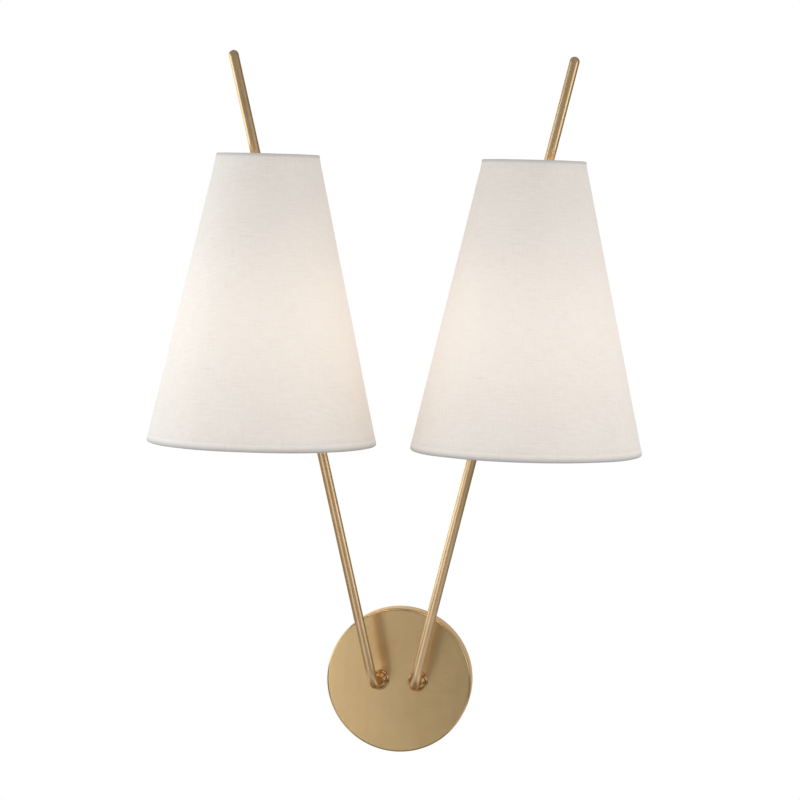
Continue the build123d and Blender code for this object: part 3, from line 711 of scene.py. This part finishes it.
# ---------------------------------------------------------------- linen covers
# Each cover is one piece of natural white linen cut as part of a ring, wrapped round the lining
# with its seam towards the wall, and turned in over the top and bottom wires as a rolled hem.
slant_length = math.hypot(bottom_radius - top_radius, top_height - bottom_height)
half_angle_sine = (bottom_radius - top_radius) / slant_length
apex_distance = bottom_radius / half_angle_sine
cloth_thickness = 0.0005
hem_roll = 0.0054                  # across the rolled hem, with the wire in it
hem_round = 0.0016
hem_under = 0.0012                 # cloth below the lower wire, and above the upper one
hem_turned_in = 0.0120             # from the wire to the cloth's edge, along the cone
hem_tuck = 0.0013                  # how far inside the cone that edge lies
hem_fold = 0.0048                  # from the wire to where the turned-in edge bends, along the cone
fold_round = 0.0015
seam_width = 0.0095
seam_step = 0.0005
seam_easing = 0.0008               # over which the step of the seam falls off
around_steps = 288
cone_steps = 60
hem_steps = 14
fine_stretch = 2.6                 # the fine steps' reach from each edge, in heights of the rolled edge
hem_band = 0.0046                  # height of the rolled edge that shows
hem_stand = 0.0002                 # how far it stands out from the cone
arc_steps = 7
ridge_height = 0.0040              # of the painted highlight along the rolled edge's top
ridge_half_width = 0.0012
face_ripple = 0.00010              # size of the slowest wave in the cover's face, and in its edges
edge_ripple = 0.00016
low_fade = 0.012                   # height over which the edges' waves fade out
high_fade = 0.010
linen_glow = 0.243
linen_warm = (1.0, 0.84, 0.70)     # painted glow for the lamp's light through the cloth
linen_light = (0.86, 0.812, 0.762)
linen_deep = (0.72, 0.668, 0.618)
hem_painted_shade = (0.36, 0.375, 0.39)     # painted shade under the lower hem and on top of the upper one


def rounded_path(corners, radii):
    """Points of a line through corners, each replaced by an arc of its radius that touches both runs."""
    points = [corners[0]]
    for before, corner, after, radius in zip(corners, corners[1:], corners[2:], radii):
        to_before = (before - corner) / np.linalg.norm(before - corner)
        to_after = (after - corner) / np.linalg.norm(after - corner)
        half = math.acos(np.clip(to_before @ to_after, -1, 1)) / 2
        middle_way = to_before + to_after
        centre = corner + middle_way / np.linalg.norm(middle_way) * radius / math.sin(half)
        start = corner + to_before * radius / math.tan(half) - centre
        end = corner + to_after * radius / math.tan(half) - centre
        turn = math.pi - 2 * half
        share = np.linspace(0, 1, arc_steps)[:, None]
        swing = (start * np.sin((1 - share) * turn) + end * np.sin(share * turn)) / math.sin(turn)
        points.extend(centre + swing)
    points.append(corners[-1])
    return np.array(points)


def hem_profile():
    """Half the cover's section as radius and height: lower hem, cone, upper hem, in the cloth's order."""
    up_cone = np.array([-(bottom_radius - top_radius), top_height - bottom_height]) / slant_length
    low = np.array([bottom_radius, bottom_height])
    high = np.array([top_radius, top_height])
    inward = np.array([-1.0, 0.0])
    tuck = inward * hem_tuck
    drop = np.array([0.0, hem_under])
    corners = [low + tuck + up_cone * hem_turned_in,
               low + inward * hem_roll + up_cone * hem_fold,
               low + inward * hem_roll - drop,
               low - drop,
               high + drop,
               high + inward * hem_roll + drop,
               high + inward * hem_roll - up_cone * hem_fold,
               high + tuck - up_cone * hem_turned_in]
    path = rounded_path(corners, [fold_round, *[hem_round] * 4, fold_round])
    long_run = 3 * arc_steps
    length = np.linalg.norm(path[long_run + 1] - path[long_run])
    edge = fine_stretch * hem_band
    run = np.concatenate([np.linspace(0, edge, hem_steps + 1)[1:-1],
                          np.linspace(edge, length - edge, cone_steps + 1),
                          np.linspace(length - edge, length, hem_steps + 1)[1:-1]])
    cone = path[long_run] + up_cone * run[:, None]
    outward = np.array([up_cone[1], -up_cone[0]])
    for from_edge in (run, length - run):
        roll = np.sin(np.clip(from_edge / hem_band, 0, 1) * np.pi)
        cone = cone + outward * (hem_stand * roll)[:, None]
    return np.concatenate([path[:long_run + 1], cone, path[long_run + 1:]])


def wavy_cone(section, run, side):
    """The section turned about the lampholder's axis. Its face has small random waves, cos(wave *
    turn) * cos(height), its edges have more, and the seam is a step towards the wall."""
    turn = np.linspace(0, 2 * np.pi, around_steps + 1)
    random = np.random.default_rng(7 if side > 0 else 11)
    radius = np.repeat(section[:, 0][:, None], around_steps + 1, 1)
    height = np.repeat(section[:, 1][:, None], around_steps + 1, 1)
    along = run[:, None] / slant_length
    bulge = np.zeros_like(radius)
    for wave in range(2, 13):
        phase, slow = random.uniform(0, 2 * np.pi, 2)
        size = face_ripple / wave ** 0.7
        bulge += size * np.cos(wave * turn[None, :] + phase) * np.cos(2.2 * along * np.pi + slow)
    edge = np.zeros(around_steps + 1)
    for wave in range(3, 15, 2):
        edge += edge_ripple / wave ** 0.5 * np.cos(wave * turn + random.uniform(0, 2 * np.pi))
    low_share = np.clip(1 - np.abs(height - bottom_height) / low_fade, 0, 1) ** 2
    high_share = np.clip(1 - np.abs(height - top_height) / high_fade, 0, 1) ** 2
    radius += np.abs(bulge)
    height += low_share * (edge[None, :] - np.abs(edge).max()) * 0.6
    height += high_share * (edge[None, ::-1] + np.abs(edge).max()) * 0.35
    from_seam = np.minimum(turn, 2 * np.pi - turn)[None, :] * radius
    radius += seam_step * np.clip((seam_width / 2 - from_seam) / seam_easing, 0, 1)
    azimuth = np.pi / 2 + turn[None, :]
    return np.stack([side * holder_across + radius * np.cos(azimuth),
                     -holder_stand_off + radius * np.sin(azimuth), height], axis=2)[:, :-1]


def lay_flat(mesh, run):
    """The mesh's UV map: the cut in metres, where a point is as far from the cone's apex as on the
    cone, and turned from the middle by its turn on the cone times the sine of the half angle."""
    from_apex = apex_distance - run
    turn = (np.linspace(0, 2 * np.pi, around_steps + 1) - np.pi) * half_angle_sine
    flat = np.stack([from_apex[:, None] * np.sin(turn)[None, :],
                     -from_apex[:, None] * np.cos(turn)[None, :]], axis=2)
    corners = np.stack([flat[:-1, :-1], flat[:-1, 1:], flat[1:, 1:], flat[1:, :-1]], axis=2)
    flat_map = mesh.uv_layers.new(name="flat_cut")
    flat_map.data.foreach_set("uv", corners.reshape(-1))


def linen_cover(side_name, side):
    """The cover: one layer of faces on the wavy cone, laid flat for its weave, and then thickened."""
    section = hem_profile()
    run = np.concatenate([[0], np.cumsum(np.linalg.norm(np.diff(section, axis=0), axis=1))])
    run = run - run[3 * arc_steps]
    grid = wavy_cone(section, run, side)
    rows, columns = grid.shape[:2]
    row = np.arange(rows - 1)[:, None] * columns
    here = np.arange(columns)[None, :]
    there = (here + 1) % columns
    faces = np.stack([row + here, row + there, row + columns + there, row + columns + here], axis=2)
    cover = smooth_object(f"{side_name}_linen_cover", grid, faces)
    lay_flat(cover.data, run)
    thick = cover.modifiers.new("cloth", "SOLIDIFY")
    thick.thickness = cloth_thickness
    thick.offset = -1.0
    return cover


def woven_linen(side_name, side):
    """Plain weave seen on the flat cut: threads both ways from two stretched noises, slubs where a
    thread is thick, a painted warm glow for the lamp's light coming through, and painted shade and highlight
    on the rolled hems."""
    linen = Finish(f"linen_{side_name}", Roughness=0.92, Sheen_Weight=0.12, Sheen_Roughness=0.5,
                   Specular_IOR_Level=0.15, Emission_Strength=linen_glow)
    u, v, _ = linen.parts(linen.node("ShaderNodeUVMap", {"uv_map": "flat_cut"}))
    x, y, z = linen.place()
    weft = linen.noise(linen.at(u * 80.0, v * 1100.0, 0.0), 1.0, 2.0, 0.6)
    warp = linen.noise(linen.at(u * 1100.0, v * 80.0, 5.0), 1.0, 2.0, 0.6)
    slub = linen.noise(linen.at(u * 45.0, v * 700.0, 9.0), 1.0, 1.0)
    slub_up = linen.noise(linen.at(u * 700.0, v * 40.0, 13.0), 1.0, 1.0)
    thick = ((slub - 0.62) * 6.0).clipped() + ((slub_up - 0.64) * 6.0).clipped()
    cloudy = linen.noise(linen.at(u, v, 0.0), 30.0, 2.0)
    threads = weft * 0.58 + warp * 0.42
    tone = ((threads - 0.5) * 1.5 + 0.60 + (cloudy - 0.5) * 0.3 - thick * 0.30).clipped()
    from_low = z - bottom_height
    from_high = top_height - z
    off_x = x - side * holder_across
    off_y = y + holder_stand_off
    out = (off_x * off_x + off_y * off_y) ** 0.5
    low_rim = ((out - bottom_radius + 0.0045) / 0.003).clipped()
    high_rim = ((out - top_radius + 0.0028) / 0.002).clipped()
    # Painted shade where the rolled hems turn away from the light: under the lower one and on top of the
    # upper one.
    under = (1.0 - (from_low + hem_under) / 0.0036).clipped() * low_rim
    over = (1.0 - (from_high + hem_under) / 0.0030).clipped() * high_rim
    shade = (under * 0.85 + over * 0.62).clipped()
    # A painted highlight: a paler line along the top of the lower rolled edge.
    ridge = (1.0 - ((from_low - ridge_height) / ridge_half_width) ** 2).clipped()
    tone = (tone + ridge * 0.35).clipped()
    single = ((from_low - 0.001) / 0.008).clipped() * ((from_high - 0.001) / 0.006).clipped()
    # Painted light: the lamp's warm glow is painted into the emission, and it is fainter where the hems lie
    # double.
    reach = lamp_reach(linen, side) * (0.30 + single * 0.70) * (1.0 - shade)
    shine = (reach * (0.93 + threads * 0.14)).clipped()
    cloth = linen.blend(tone, linen_deep, linen_light)
    linen.feed(Base_Color=linen.blend(shade, cloth, hem_painted_shade),
               Emission_Color=linen.blend(shine, unlit, linen_warm),
               Normal=linen.relief((threads + thick * 0.25).clipped(), 0.00016, 0.6))
    return linen


for side_name, side in SIDES:
    cover = linen_cover(side_name, side)
    cover.data.materials.append(woven_linen(side_name, side).material)
    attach(cover, f"{side_name}_shade")
    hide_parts(f"{side_name}_shade_cover", f"{side_name}_shade_hems")
